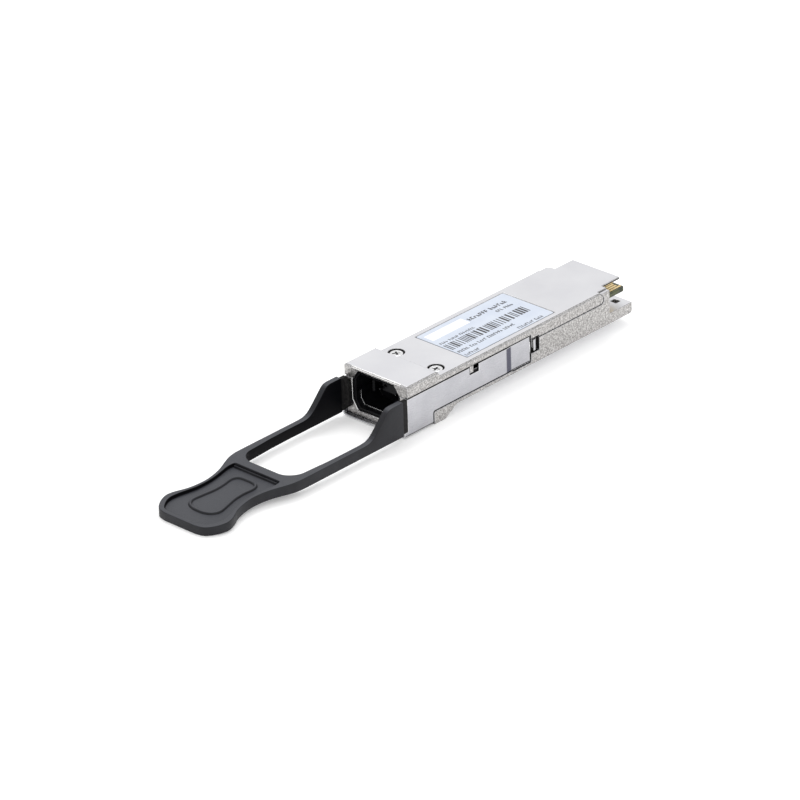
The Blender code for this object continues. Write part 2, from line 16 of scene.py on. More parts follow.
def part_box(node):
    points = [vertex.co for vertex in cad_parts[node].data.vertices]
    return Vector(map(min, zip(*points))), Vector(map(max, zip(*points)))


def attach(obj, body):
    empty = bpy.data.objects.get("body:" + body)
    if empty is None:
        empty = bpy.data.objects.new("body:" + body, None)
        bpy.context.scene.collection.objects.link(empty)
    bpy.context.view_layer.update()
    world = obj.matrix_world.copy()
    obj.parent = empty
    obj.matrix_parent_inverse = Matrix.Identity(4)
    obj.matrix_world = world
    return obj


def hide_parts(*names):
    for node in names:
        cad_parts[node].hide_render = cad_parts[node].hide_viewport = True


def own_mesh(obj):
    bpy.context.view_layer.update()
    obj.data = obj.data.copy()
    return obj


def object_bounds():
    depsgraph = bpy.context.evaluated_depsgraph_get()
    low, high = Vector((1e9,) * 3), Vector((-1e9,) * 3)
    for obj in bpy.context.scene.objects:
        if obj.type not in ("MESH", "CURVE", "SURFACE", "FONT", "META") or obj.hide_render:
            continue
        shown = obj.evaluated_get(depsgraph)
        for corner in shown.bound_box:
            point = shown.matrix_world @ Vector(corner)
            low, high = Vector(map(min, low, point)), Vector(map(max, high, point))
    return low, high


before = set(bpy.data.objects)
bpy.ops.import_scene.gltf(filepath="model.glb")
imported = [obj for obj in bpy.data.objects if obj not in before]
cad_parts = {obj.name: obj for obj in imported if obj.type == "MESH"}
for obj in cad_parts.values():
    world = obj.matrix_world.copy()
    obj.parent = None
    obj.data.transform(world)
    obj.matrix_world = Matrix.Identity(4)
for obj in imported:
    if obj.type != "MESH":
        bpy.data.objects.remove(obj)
cad_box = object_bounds()

MM = 0.001
FOOT_DROP = 2.25          # the foot under the nose, below the underside
base_low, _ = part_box("bottom_housing")
ORIGIN = Vector((0, base_low.y, base_low.z + FOOT_DROP * MM))


def node_box(name):
    """A CAD node's two corners in millimetres in the module's frame."""
    low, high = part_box(name)
    return (low - ORIGIN) / MM, (high - ORIGIN) / MM


# Envelope in millimetres, read from the frame
HALF_W = node_box("bottom_housing")[1].x
BODY_END = node_box("bottom_housing")[1].y
NOSE_TOP = node_box("top_housing")[1].z
TONGUE_END = node_box("top_housing")[1].y
TAB_END = node_box("pull_tab")[0].y
TAB_HALF_W = node_box("pull_tab")[1].x
LATCH_OUT = node_box("release_latch")[1].x
STRAP_Z = node_box("release_latch")[0].z
CARD_LOW, CARD_HIGH = node_box("circuit_board")

# Housing
BEYOND = 10               # a cut's outer end, clear of either side
BODY_TOP = 8.5
NOSE_END = 9.5
STEP_END = 10.4
NOSE_SEAM = 6.85
NOSE_SEAM_END = 10.0
SIDE_SEAM = 5.7
SEAM_GAP = 0.08
FOOT_FRONT = 8.12
POST_REAR = 65.0
POST_TOP = 8.2
POST_IN = 8.3
SHELF_TOP = 2.55
TONGUE_HALF_W = 6.84
TONGUE_Z = 7.9
ROOF_Z = 7.8
FLOOR_Z = 1.1
PORT_HALF_W = 6.95
PORT_Z = (-0.35, 9.05)
PORT_DEPTH = 9.0
PORT_MID_Z = 4.35
BOARD_HALF_W = 6.6
CARD_NECK = 58.8
RECESS_X = 8.65
SCREW_XY = (5.75, 12.65)
SCREW_HEAD = 1.6
SEAM_SLOT = 0.1           # half the width of the dark line that the joint shows

# Latch
LATCH_T = 0.4
LATCH_END = 38.85
LATCH_Z = (1.05, 6.74)
STRAP_FRONT = -1.0        # the strap's curl reaches this far ahead of the nose
NOTCH_Y = (19.5, 22.5)
LUG_Y = 32.0
JOGGLE_Y = (31.25, 32.85) # ramp where the plate steps in
COIL_X, COIL_Z = 7.88, 3.8
COIL_FRONT = 24.18

# Pull tab
TAB_TOP = 1.5
TAB_LOW = -0.95
TAB_BEND_Y = -34.0
TAB_SLOPE = 0.058
ARM_IN = 8.25
ARM_END = -1.9
ARM_TOP = 7.15
NECK_OUT = 9.3
RIM_DROP = 0.85
TAB_THINNING = 0.2        # the grip's underside sinks this much less than its top
TAB_CURL = (-46.0, -57.0, 0.22)   # the grip's top curls down by the last number between the first two

# Material slots that every piece shares
EDGE = 1                  # faces that round_edges() makes
# The third slot holds the painted shade that darkens the walls of gaps and recesses
GAP = 2                   # faces that a shadowed() tool leaves

# Label
LABEL_HALF_W = 7.45
LABEL_Y = (20.65, 48.55)
LABEL_Z = 8.48
LABEL_FIELD = (-6.1, -3.3, 21.7, 33.4)    # the blank white field


# ------------------------------------------------------------- shape builders

def new_object(name, shape):
    """An object from a bmesh in millimetres in the module's frame."""
    bmesh.ops.recalc_face_normals(shape, faces=shape.faces)
    shape.transform(Matrix.Translation(ORIGIN) @ Matrix.Scale(MM, 4))
    mesh = bpy.data.meshes.new(name)
    shape.to_mesh(mesh)
    shape.free()
    for _ in range(GAP + 1):
        mesh.materials.append(None)
    obj = bpy.data.objects.new(name, mesh)
    bpy.context.scene.collection.objects.link(obj)
    return obj


def shadowed(tool):
    """Marks a tool so that the walls it cuts take the painted shade of a narrow gap."""
    for face in tool.data.polygons:
        face.material_index = GAP
    return tool


def prism(name, axis, outline, low, high):
    """An outline across an axis, pushed from low to high along it.

    The outline's pairs are (y, z) for X, (x, z) for Y and (x, y) for Z.
    """
    place = {
        "X": lambda a, b, c: (c, a, b),
        "Y": lambda a, b, c: (a, c, b),
        "Z": lambda a, b, c: (a, b, c),
    }[axis]
    shape = bmesh.new()
    face = shape.faces.new([shape.verts.new(place(a, b, low)) for a, b in outline])
    grown = bmesh.ops.extrude_face_region(shape, geom=[face])
    moved = [v for v in grown["geom"] if isinstance(v, bmesh.types.BMVert)]
    bmesh.ops.translate(shape, vec=place(0, 0, high - low), verts=moved)
    return new_object(name, shape)


def box(name, x, y, z):
    return prism(name, "Z", [(x[0], y[0]), (x[1], y[0]), (x[1], y[1]), (x[0], y[1])], *z)


def side_box(side, x, y, z):
    low, high = sorted((side * x[0], side * x[1]))
    return box("tool", (low, high), y, z)


def both_sides(make, *args):
    return [make(side, *args) for side in (1, -1)]


def circle(centre, radius, count):
    steps = [2 * math.pi * i / count for i in range(count)]
    return [(centre[0] + radius * math.cos(a), centre[1] + radius * math.sin(a)) for a in steps]


def arc(centre, radius, from_deg, to_deg, count):
    steps = [math.radians(from_deg + (to_deg - from_deg) * i / count) for i in range(count + 1)]
    return [(centre[0] + radius * math.cos(a), centre[1] + radius * math.sin(a)) for a in steps]


def mirrored(points):
    """Right-hand points from one end of the centre line to the other, closed by their mirror."""
    return points + [(-x, y) for x, y in reversed(points)]


def smooth_through(points, steps):
    """A Catmull-Rom curve through the points."""
    ends = [points[0]] + list(points) + [points[-1]]
    curve = []
    for a, b, c, d in zip(ends, ends[1:], ends[2:], ends[3:]):
        for i in range(steps):
            t = i / steps
            curve.append(tuple(
                0.5 * (2 * q + (r - p) * t + (2 * p - 5 * q + 4 * r - s) * t * t
                       + (3 * q - p - 3 * r + s) * t ** 3)
                for p, q, r, s in zip(a, b, c, d)))
    curve.append(tuple(points[-1]))
    return curve


def turned(name, centre, stations, count):
    """A solid of revolution about a vertical axis, from (radius, z) stations listed upwards."""
    shape = bmesh.new()
    rings = []
    for radius, z in stations:
        rings.append([shape.verts.new((x, y, z)) for x, y in circle(centre, radius, count)])
    for first, second in zip(rings, rings[1:]):
        for i in range(count):
            j = (i + 1) % count
            shape.faces.new((first[i], first[j], second[j], second[i]))
    shape.faces.new(rings[0])
    shape.faces.new(list(reversed(rings[-1])))
    return new_object(name, shape)


def evaluated(obj):
    bpy.context.view_layer.update()
    graph = bpy.context.evaluated_depsgraph_get()
    return bpy.data.meshes.new_from_object(obj.evaluated_get(graph))


def combine(target, tool, operation):
    modifier = target.modifiers.new("cut", "BOOLEAN")
    modifier.operation = operation
    modifier.solver = "EXACT"
    modifier.object = tool
    mesh = evaluated(target)
    target.modifiers.remove(modifier)
    target.data = mesh
    bpy.data.objects.remove(tool, do_unlink=True)


def cut(target, *tools):
    for tool in tools:
        combine(target, tool, "DIFFERENCE")


def add(target, *tools):
    for tool in tools:
        combine(target, tool, "UNION")


def merge_flats(obj):
    """Joins stray points and coplanar faces that the cuts left, so that edges can be rounded."""
    shape = bmesh.new()
    shape.from_mesh(obj.data)
    bmesh.ops.remove_doubles(shape, verts=shape.verts, dist=0.004 * MM)
    bmesh.ops.dissolve_limit(shape, angle_limit=math.radians(0.4), verts=shape.verts, edges=shape.edges)
    shape.to_mesh(obj.data)
    shape.free()


def round_edges(obj, width, segments=2, angle=28, edge_material=0):
    modifier = obj.modifiers.new("rounded edges", "BEVEL")
    modifier.width = width * MM
    modifier.segments = segments
    modifier.limit_method = "ANGLE"
    modifier.angle_limit = math.radians(angle)
    modifier.use_clamp_overlap = False
    modifier.material = edge_material
    weighted = obj.modifiers.new("flat faces stay flat", "WEIGHTED_NORMAL")
    weighted.mode = "FACE_AREA"
    weighted.keep_sharp = True


def apply_modifiers(obj):
    mesh = evaluated(obj)
    obj.modifiers.clear()
    obj.data = mesh


def shade(obj, angle=35):
    obj.data.shade_smooth()
    obj.data.set_sharp_from_angle(angle=math.radians(angle))


def piece(obj, body, materials, nodes=()):
    """Gives a piece its materials and its body, and hides the CAD nodes that it stands for."""
    for i, material in enumerate(materials):
        obj.data.materials[i] = material
    while len(obj.data.materials) > len(materials):
        obj.data.materials.pop()
    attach(obj, body)
    if nodes:
        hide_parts(*nodes)
    return obj


# ------------------------------------------------------------------ materials

class Surface:
    """A Principled material with short calls for the textures that feed it."""

    def __init__(self, name, color, roughness, metallic=0.0, specular=0.5):
        self.material = bpy.data.materials.new(name)
        self.material.use_nodes = True
        self.tree = self.material.node_tree
        self.shader = self.tree.nodes["Principled BSDF"]
        self.shader.inputs["Base Color"].default_value = (*color, 1)
        self.shader.inputs["Roughness"].default_value = roughness
        self.shader.inputs["Metallic"].default_value = metallic
        self.shader.inputs["Specular IOR Level"].default_value = specular
        self.coordinates = self.tree.nodes.new("ShaderNodeTexCoord").outputs["Object"]
        self.height = None

    def link(self, source, target):
        self.tree.links.new(source, target)

    def noise(self, grain, detail=3.0, roughness=0.55, stretch=(1, 1, 1)):
        """Noise whose lumps are about grain millimetres across, longer along an axis with a low stretch."""
        mapping = self.tree.nodes.new("ShaderNodeMapping")
        mapping.inputs["Scale"].default_value = stretch
        self.link(self.coordinates, mapping.inputs["Vector"])
        texture = self.tree.nodes.new("ShaderNodeTexNoise")
        texture.inputs["Scale"].default_value = 1 / (grain * MM)
        texture.inputs["Detail"].default_value = detail
        texture.inputs["Roughness"].default_value = roughness
        self.link(mapping.outputs["Vector"], texture.inputs["Vector"])
        return texture.outputs["Fac"]

    def spread(self, value, low, high, to_low, to_high):
        """Maps low..high to to_low..to_high and holds the ends."""
        node = self.tree.nodes.new("ShaderNodeMapRange")
        for name, number in (("From Min", low), ("From Max", high), ("To Min", to_low), ("To Max", to_high)):
            node.inputs[name].default_value = number
        self.link(value, node.inputs["Value"])
        return node.outputs["Result"]

    def math(self, kind, first, second):
        node = self.tree.nodes.new("ShaderNodeMath")
        node.operation = kind
        for socket, value in zip(node.inputs, (first, second)):
            if isinstance(value, (int, float)):
                socket.default_value = value
            else:
                self.link(value, socket)
        return node.outputs[0]

    def axis(self, name, source=None):
        """One coordinate in metres in the row frame, or one part of another vector."""
        node = self.tree.nodes.new("ShaderNodeSeparateXYZ")
        self.link(source or self.coordinates, node.inputs[0])
        return node.outputs[name]

    def normal(self, axis):
        geometry = self.tree.nodes.new("ShaderNodeNewGeometry")
        return self.axis(axis, geometry.outputs["True Normal"])

    def facing(self, axis):
        """1 on faces that look along the axis, either way, and 0 on the others."""
        return self.spread(self.math("ABSOLUTE", self.normal(axis), 0), 0.7, 0.95, 0, 1)

    def blend(self, factor, first, second):
        """A colour between two, each a triple or a socket."""
        node = self.tree.nodes.new("ShaderNodeMix")
        node.data_type = "RGBA"
        sockets = [s for s in node.inputs if s.type == "RGBA"]
        self.link(factor, node.inputs[0])
        for socket, color in zip(sockets, (first, second)):
            if isinstance(color, tuple):
                socket.default_value = (*color, 1)
            else:
                self.link(color, socket)
        return [s for s in node.outputs if s.type == "RGBA"][0]

    def shades(self, value, low, high, first, second):
        """A colour that turns from the first to the second as the value goes from low to high."""
        return self.blend(self.spread(value, low, high, 0, 1), first, second)

    def color(self, source):
        self.link(source, self.shader.inputs["Base Color"])

    def rough(self, source):
        self.link(source, self.shader.inputs["Roughness"])

    def sheen(self, source):
        self.link(source, self.shader.inputs["Specular IOR Level"])

    def bump(self, height, depth, strength=1.0):
        """Adds relief of about depth millimetres on top of what is there."""
        node = self.tree.nodes.new("ShaderNodeBump")
        node.inputs["Strength"].default_value = strength
        node.inputs["Distance"].default_value = depth * MM
        self.link(height, node.inputs["Height"])
        if self.height:
            self.link(self.height, node.inputs["Normal"])
        self.height = node.outputs["Normal"]
        self.link(self.height, self.shader.inputs["Normal"])


def die_cast():
    """Nickel plate over zinc: tumbled smooth on top, blasted and grainy on the sides, with painted light on
    the tops and painted shade on the sides.
    """
    s = Surface("nickel_plated_casting", (0.66, 0.66, 0.67), 0.36, metallic=1.0)
    flat_top = s.facing("Z")
    grain = s.noise(0.42, detail=5, roughness=0.8)
    fine = s.noise(0.09, detail=2)
    cloud = s.noise(9.0, detail=3)
    # painted shade on the sides and painted light on the top, over the sides' own grain
    side = s.shades(grain, 0.42, 0.60, (0.24, 0.232, 0.225), (0.66, 0.645, 0.635))
    top = s.shades(cloud, 0.3, 0.7, (0.64, 0.64, 0.665), (0.69, 0.69, 0.71))
    s.color(s.blend(flat_top, side, top))
    side_rough = s.spread(grain, 0.3, 0.7, 0.26, 0.46)
    top_rough = s.spread(fine, 0.3, 0.7, 0.30, 0.38)
    mix = s.math("MULTIPLY", s.math("SUBTRACT", top_rough, side_rough), flat_top)
    s.rough(s.math("ADD", side_rough, mix))
    calm = s.spread(flat_top, 0, 1, 1, 0.1)
    s.bump(s.math("MULTIPLY", grain, calm), 0.06)
    s.bump(s.math("MULTIPLY", fine, calm), 0.012)
    return s.material


def cast_edge():
    """The same plate along its rounded edges: greyer than the faces as a painted dark reflection, and
    painted near white round the port as a painted highlight.
    """
    s = Surface("nickel_plated_edge", (0.50, 0.50, 0.51), 0.25, metallic=1.0)
    worn = s.spread(s.noise(0.6, detail=4), 0.35, 0.65, 0, 1)
    sideways = s.math("ABSOLUTE", s.axis("X"), 0)
    within = s.spread(sideways, (PORT_HALF_W + 0.1) * MM, (PORT_HALF_W + 0.2) * MM, 1, 0)
    nose = s.spread(s.axis("Y"), ORIGIN.y + 0.3 * MM, ORIGIN.y + 0.4 * MM, 1, 0)
    # painted dark reflection on the rounded edges, and a painted highlight where they round the port
    painted_dark_edge = s.blend(worn, (0.34, 0.34, 0.35), (0.50, 0.50, 0.51))
    painted_port_highlight = s.blend(worn, (0.80, 0.79, 0.79), (0.97, 0.97, 0.96))
    s.color(s.blend(s.math("MULTIPLY", within, nose), painted_dark_edge, painted_port_highlight))
    s.rough(s.spread(worn, 0, 1, 0.18, 0.34))
    s.bump(s.noise(0.12, detail=2), 0.008)
    return s.material


def gap_shade():
    """Painted shade: near-black walls inside the narrow gaps and recesses, where no light gets in."""
    s = Surface("painted_gap_shade", (0.012, 0.012, 0.013), 0.7, specular=0.15)
    shade_mottle = s.noise(0.5, detail=4)
    s.color(s.shades(shade_mottle, 0.35, 0.65, (0.008, 0.008, 0.009), (0.022, 0.021, 0.020)))
    s.rough(s.spread(shade_mottle, 0.3, 0.7, 0.6, 0.8))
    s.bump(shade_mottle, 0.01)
    return s.material


def stainless():
    """Rolled sheet with its grain along the module, a painted dark reflection across the pressed step and
    painted shade underneath.
    """
    s = Surface("rolled_stainless", (0.52, 0.52, 0.54), 0.24, metallic=1.0)
    lines = s.noise(0.12, detail=3, stretch=(1, 0.03, 1))
    smudge = s.noise(5.0, detail=3)
    plain = s.shades(smudge, 0.3, 0.7, (0.43, 0.43, 0.455), (0.50, 0.50, 0.525))
    front, rear = (ORIGIN.y + y * MM for y in JOGGLE_Y)
    along = s.axis("Y")
    soft = 0.15 * MM
    after = s.spread(along, front - soft, front + soft, 0, 1)
    before = s.spread(along, rear - soft, rear + soft, 1, 0)
    # painted dark reflection: a darker band across the step between the ends of JOGGLE_Y
    painted_step_reflection = s.blend(s.math("MULTIPLY", after, before), plain, (0.10, 0.10, 0.13))
    # painted shade: faces that look downwards turn near black
    under = s.spread(s.normal("Z"), -0.35, -0.15, 1, 0)
    s.color(s.blend(under, painted_step_reflection, (0.02, 0.02, 0.022)))
    s.rough(s.spread(lines, 0.3, 0.7, 0.20, 0.32))
    s.bump(lines, 0.004)
    return s.material


def bright_steel_with_edge_highlight():
    # Bright steel, whole on the screws and the port strip; on the latch's rounded edges its brightness is a
    # painted highlight.
    s = Surface("bright_stainless_with_painted_edge_highlight", (0.80, 0.80, 0.81), 0.16, metallic=1.0)
    streaks = s.noise(0.08, detail=3)
    s.color(s.shades(streaks, 0.3, 0.7, (0.70, 0.70, 0.71), (0.90, 0.90, 0.91)))
    s.rough(s.spread(streaks, 0.3, 0.7, 0.12, 0.24))
    s.bump(streaks, 0.004)
    return s.material


def tab_plastic():
    """Black nylon with a fine spark texture, with painted light on the tops and painted shade, deep black,
    on the inner walls.
    """
    s = Surface("black_moulded_tab", (0.020, 0.021, 0.025), 0.5)
    cloud = s.noise(6.0, detail=4)
    pits = s.noise(0.14, detail=3, roughness=0.6)
    up = s.facing("Z")
    # painted light: faces that look up are lighter than the sides
    painted_top_light = s.blend(up, (0.009, 0.009, 0.0115), (0.029, 0.031, 0.040))
    worn = s.blend(s.spread(cloud, 0.35, 0.65, 0, 0.2), painted_top_light, (0.045, 0.048, 0.057))
    # painted shade: the inner walls of the arms turn deeper black
    inward = s.spread(s.math("MULTIPLY", s.normal("X"), s.axis("X")), -5.5 * MM, -4 * MM, 1, 0)
    s.color(s.blend(inward, worn, (0.003, 0.003, 0.004)))
    s.sheen(s.math("MULTIPLY", s.spread(up, 0, 1, 0.27, 0.42), s.spread(inward, 0, 1, 1, 0.2)))
    s.rough(s.spread(pits, 0.3, 0.7, 0.44, 0.6))
    s.bump(pits, 0.016)
    s.bump(s.noise(2.5, detail=2), 0.03)
    return s.material


def liner_plastic():
    s = Surface("black_moulded_liner", (0.006, 0.006, 0.007), 0.3, specular=0.12)
    flow = s.noise(1.2, detail=4, stretch=(1, 0.35, 1))
    s.color(s.shades(flow, 0.35, 0.65, (0.003, 0.003, 0.004), (0.006, 0.006, 0.007)))
    s.rough(s.spread(flow, 0.3, 0.7, 0.24, 0.40))
    s.bump(flow, 0.02)
    return s.material


def label_film():
    """Pale satin polyester film, very slightly wavy where it is stuck down."""
    s = Surface("label_film", (0.72, 0.78, 0.90), 0.4, specular=0.3)
    cloud = s.noise(4.0, detail=3)
    s.color(s.shades(cloud, 0.3, 0.7, (0.565, 0.615, 0.715), (0.62, 0.67, 0.755)))
    s.rough(s.spread(s.noise(0.5, detail=2), 0.3, 0.7, 0.36, 0.46))
    s.bump(s.noise(3.0, detail=2), 0.01)
    return s.material


def print_white():
    s = Surface("label_white", (0.95, 0.95, 0.95), 0.4)
    spots = s.noise(1.5, detail=3)
    s.color(s.shades(spots, 0.3, 0.7, (0.97, 0.97, 0.97), (1.0, 1.0, 1.0)))
    s.rough(s.spread(spots, 0.3, 0.7, 0.34, 0.46))
    return s.material


def print_ink():
    """Thermal-transfer ink: near black, broken up by tiny voids."""
    s = Surface("label_ink", (0.03, 0.03, 0.035), 0.4)
    voids = s.noise(0.12, detail=3)
    s.color(s.shades(voids, 0.30, 0.75, (0.010, 0.010, 0.013), (0.05, 0.05, 0.06)))
    s.rough(s.spread(voids, 0.3, 0.7, 0.32, 0.5))
    return s.material


def gold_plate():
    s = Surface("contact_gold", (0.86, 0.66, 0.33), 0.22, metallic=1.0)
    wipe = s.noise(0.10, detail=3, stretch=(1, 0.08, 1))
    s.color(s.shades(wipe, 0.3, 0.7, (0.78, 0.58, 0.27), (0.90, 0.71, 0.38)))
    s.rough(s.spread(wipe, 0.3, 0.7, 0.16, 0.30))
    s.bump(wipe, 0.004)
    return s.material


def board_laminate():
    """Dark olive solder mask with copper planes showing through, over a glass weave."""
    s = Surface("board_laminate", (0.04, 0.05, 0.02), 0.36)
    weave = s.noise(0.35, detail=1, stretch=(1, 0.4, 1))
    planes = s.noise(1.6, detail=0)
    s.color(s.shades(planes, 0.46, 0.50, (0.020, 0.028, 0.010), (0.060, 0.070, 0.022)))
    s.rough(s.spread(weave, 0.3, 0.7, 0.28, 0.42))
    s.bump(s.spread(planes, 0.46, 0.50, 0, 1), 0.012)
    s.bump(weave, 0.006)
    return s.material


def grainy(name, dark, light, grain, roughness, depth, metallic=0.0):
    """The common recipe: mottled colour and roughness with a fine relief."""
    s = Surface(name, light, roughness, metallic=metallic)
    mottle = s.noise(grain, detail=4)
    s.color(s.shades(mottle, 0.3, 0.7, dark, light))
    s.rough(s.spread(mottle, 0.3, 0.7, roughness - 0.07, roughness + 0.07))
    s.bump(mottle, depth)
    return s.material


# -------------------------------------------------------------------- housing

def port_outline(inset=0.0):
    x = PORT_HALF_W - inset
    low, high = PORT_Z[0] + inset, PORT_Z[1] - inset
    return mirrored([(5.5 - inset * 0.5, low), (x, 2.0), (x, 6.6), (5.2 - inset * 0.5, high)])


def cavity_outline(half_width):
    return mirrored([(4.2, 8.5), (4.2, 14.5), (half_width, 14.5), (half_width, 62.0)])


def pocket_outline():
    inner = BOARD_HALF_W + 0.15
    return mirrored([(inner, 15.0), (inner, CARD_NECK - 0.3), (POST_IN, CARD_NECK - 0.3), (POST_IN, 66.0)])


def latch_recess(side):
    corner = arc((8.72, 0.25), 0.55, 180, 90, 5)
    outline = [(-1, -3), (8.17, -3)] + corner + [
        (33.0, 0.8), (33.2, 0.6), (39.2, 0.6), (39.2, 7.1), (-1, 7.1)]
    return prism("tool", "X", outline, *sorted((side * RECESS_X, side * BEYOND)))


def long_chamfer(side, z, size, y):
    """Triangular bar that takes a long top edge of the cover off at about 45 degrees."""
    above, outside = z + 0.1 * size, HALF_W + 1
    outline = [
        (side * (HALF_W - size), above), (side * outside, above),
        (side * outside, z - size - 1), (side * HALF_W, z - size),
    ]
    return prism("tool", "Y", outline, *y)


def post_seam(gap):
    """The seam's (y, z) points from the side joint up round the rear lug, moved out by a gap."""
    curve = [
        (62.1, SIDE_SEAM), (62.55, 5.8), (62.95, 6.15), (63.1, 6.65), (63.0, 7.15), (62.6, 7.75),
        (62.2, POST_TOP),
    ]
    return [(y - gap, z + gap * 0.8) for y, z in smooth_through(curve, 3)]


def seam_slot(side):
    """Shallow groove along the joint between base and cover, most of the way up round the rear lug."""
    lower = [(9.6, SIDE_SEAM - SEAM_SLOT)] + post_seam(-SEAM_SLOT)[:-3]
    upper = [(9.6, SIDE_SEAM + SEAM_SLOT)] + post_seam(SEAM_SLOT * 1.4)[:-3]
    return prism("tool", "X", lower + list(reversed(upper)), *sorted((side * 8.85, side * BEYOND)))


def hook_pocket(side):
    return side_box(side, (8.0, BEYOND), (37.7, 41.85), (2.6, SIDE_SEAM + 0.5))


def build_base(metal, edge, gap):
    """Lower casting: foot, latch recesses, spring channels, board pocket, rear shelf and lugs."""
    profile = [
        (0, -1.58), (FOOT_FRONT, -1.58), (FOOT_FRONT, -FOOT_DROP), (11.4, -FOOT_DROP), (12.0, -1.95),
        (15.2, -0.1), (15.7, 0), (71.9, 0), (BODY_END, 0.5), (BODY_END, SHELF_TOP), (POST_REAR, SHELF_TOP),
        (POST_REAR, POST_TOP),
    ]
    profile += list(reversed(post_seam(0)))
    profile += [(NOSE_SEAM_END, SIDE_SEAM), (NOSE_SEAM_END, NOSE_SEAM), (0, NOSE_SEAM)]
    base = prism("base_casting", "X", profile, -HALF_W, HALF_W)
    cut(base, shadowed(prism("tool", "Y", port_outline(), -1, PORT_DEPTH)))
    cut(base, prism("tool", "Z", cavity_outline(6.3), FLOOR_Z, 10))
    cut(base, prism("tool", "Z", pocket_outline(), CARD_LOW.z - 0.05, 10))
    cut(base, *map(shadowed, both_sides(latch_recess)))
    cut(base, *map(shadowed, both_sides(hook_pocket)))
    cut(base, *map(shadowed, both_sides(seam_slot)))
    cut(base, *both_sides(side_box, (7.1, BEYOND), (24.0, LUG_Y + 1), (3.0, 4.6)))
    cut(base, *both_sides(side_box, (7.45, 8.05), (16.0, 57.0), (5.2, 6.0)))
    cut(base, *both_sides(side_box, (5.2, 6.95), (69.65, 71.1), (-1, 3)))
    for side in (1, -1):
        centre = (side * SCREW_XY[0], SCREW_XY[1])
        cut(base, prism("tool", "Z", circle(centre, 0.75, 24), 1.4, 7))
        lip = [(8.0, -1.85), (BEYOND, -1.85), (BEYOND, -1.25), (RECESS_X, -1.25)]
        cut(base, prism("tool", "Y", [(side * x, z) for x, z in lip], -1, FOOT_FRONT))
    for y in (22.0, 46.0, 67.5):
        for side in (1, -1):
            cut(base, prism("tool", "Z", circle((side * 4.6, y), 1.1, 32), -0.5, 0.05))
    add(base, box("tool", (-3.2, 3.2), (24.8, 28.2), (FLOOR_Z - 0.3, 3.6)))
    merge_flats(base)
    round_edges(base, 0.1, edge_material=EDGE)
    shade(base)
    return piece(base, "housing", (metal, edge, gap), ["bottom_housing"])


def build_cover(metal, edge, gap):
    """Upper casting: raised nose, screw recesses, label bed, side lugs and rear tongue."""
    side_z, nose_z, nose_seam_end = SIDE_SEAM + SEAM_GAP, NOSE_SEAM + SEAM_GAP, NOSE_SEAM_END + 0.06
    profile = [
        (0, nose_z), (nose_seam_end, nose_z), (nose_seam_end, side_z), (TONGUE_END, side_z),
        (TONGUE_END, BODY_TOP), (STEP_END, BODY_TOP), (NOSE_END, NOSE_TOP), (0.25, NOSE_TOP),
        (0, NOSE_TOP - 0.25),
    ]
    cover = prism("cover_casting", "X", profile, -HALF_W, HALF_W)
    past_end = TONGUE_END + 1
    behind_post = post_seam(SEAM_GAP) + [(62.0, 9), (past_end, 9), (past_end, 3), (62.02, 3)]
    for side in (1, -1):
        beside_post = sorted((side * (POST_IN - SEAM_GAP), side * BEYOND))
        cut(cover, prism("tool", "X", behind_post, *beside_post))
    cut(cover, *both_sides(side_box, (TONGUE_HALF_W, BEYOND), (POST_REAR, past_end), (3, 9)))
    undercut = (TONGUE_HALF_W - 0.05, BEYOND), (POST_REAR - 0.1, past_end), (3, TONGUE_Z + 0.3)
    cut(cover, *map(shadowed, both_sides(side_box, *undercut)))
    cut(cover, shadowed(prism("tool", "Y", port_outline(), -1, PORT_DEPTH)))
    cut(cover, prism("tool", "Z", cavity_outline(BOARD_HALF_W + 0.15), 3, ROOF_Z))
    cut(cover, box("tool", (-POST_IN, POST_IN), (CARD_NECK - 0.3, 80), (3, TONGUE_Z)))
    cut(cover, *map(shadowed, both_sides(latch_recess)))
    cut(cover, *map(shadowed, both_sides(hook_pocket)))
    cut(cover, *map(shadowed, both_sides(seam_slot)))
    lug_y = (NOTCH_Y[0] + 0.1, NOTCH_Y[0] + 1.3)
    add(cover, *both_sides(side_box, (8.4, 9.12), lug_y, (5.8, 7.2)))
    add(cover, *both_sides(side_box, (8.72, 9.12), lug_y, (5.4, 6.5)))
    for side in (1, -1):
        centre = (side * SCREW_XY[0], SCREW_XY[1])
        cut(cover, shadowed(prism("tool", "Z", circle(centre, 1.85, 64), 7.4, 10)))
        cut(cover, prism("tool", "Z", circle(centre, 0.9, 24), 4, 8))
        cut(cover, long_chamfer(side, BODY_TOP, 0.3, (STEP_END, 62.3)))
        cut(cover, long_chamfer(side, NOSE_TOP, 0.35, (-1, NOSE_END)))
    cut(cover, shadowed(box("tool", (-7.62, 7.62), (20.46, 48.74), (BODY_TOP - 0.14, 9))))
    merge_flats(cover)
    round_edges(cover, 0.09, edge_material=EDGE)
    shade(cover)
    return piece(cover, "housing", (metal, edge, gap), ["top_housing"])


def build_screw(side, steel, gap):
    """Flat-head machine screw with a crossed drive recess."""
    centre = (side * SCREW_XY[0], SCREW_XY[1])
    stations = [(0.7, 1.6), (0.7, 7.45), (SCREW_HEAD, 7.45), (SCREW_HEAD, 8.1), (SCREW_HEAD - 0.18, 8.3)]
    screw = turned("cover_screw_r" if side > 0 else "cover_screw_l", centre, stations, 48)
    first_arm = 20 if side > 0 else 55
    for turn in (first_arm, first_arm + 90):
        a = math.radians(turn)
        along = Vector((math.cos(a), math.sin(a))) * 0.95
        across = Vector((-math.sin(a), math.cos(a))) * 0.2
        corners = [along + across, -along + across, -along - across, along - across]
        outline = [(centre[0] + c.x, centre[1] + c.y) for c in corners]
        cut(screw, shadowed(prism("tool", "Z", outline, 7.75, 9)))
    merge_flats(screw)
    round_edges(screw, 0.05, edge_material=EDGE)
    shade(screw)
    node = "cover_screw_right" if side > 0 else "cover_screw_left"
    return piece(screw, "housing", (steel, steel, gap), [node])


# ---------------------------------------------------------------------- latch

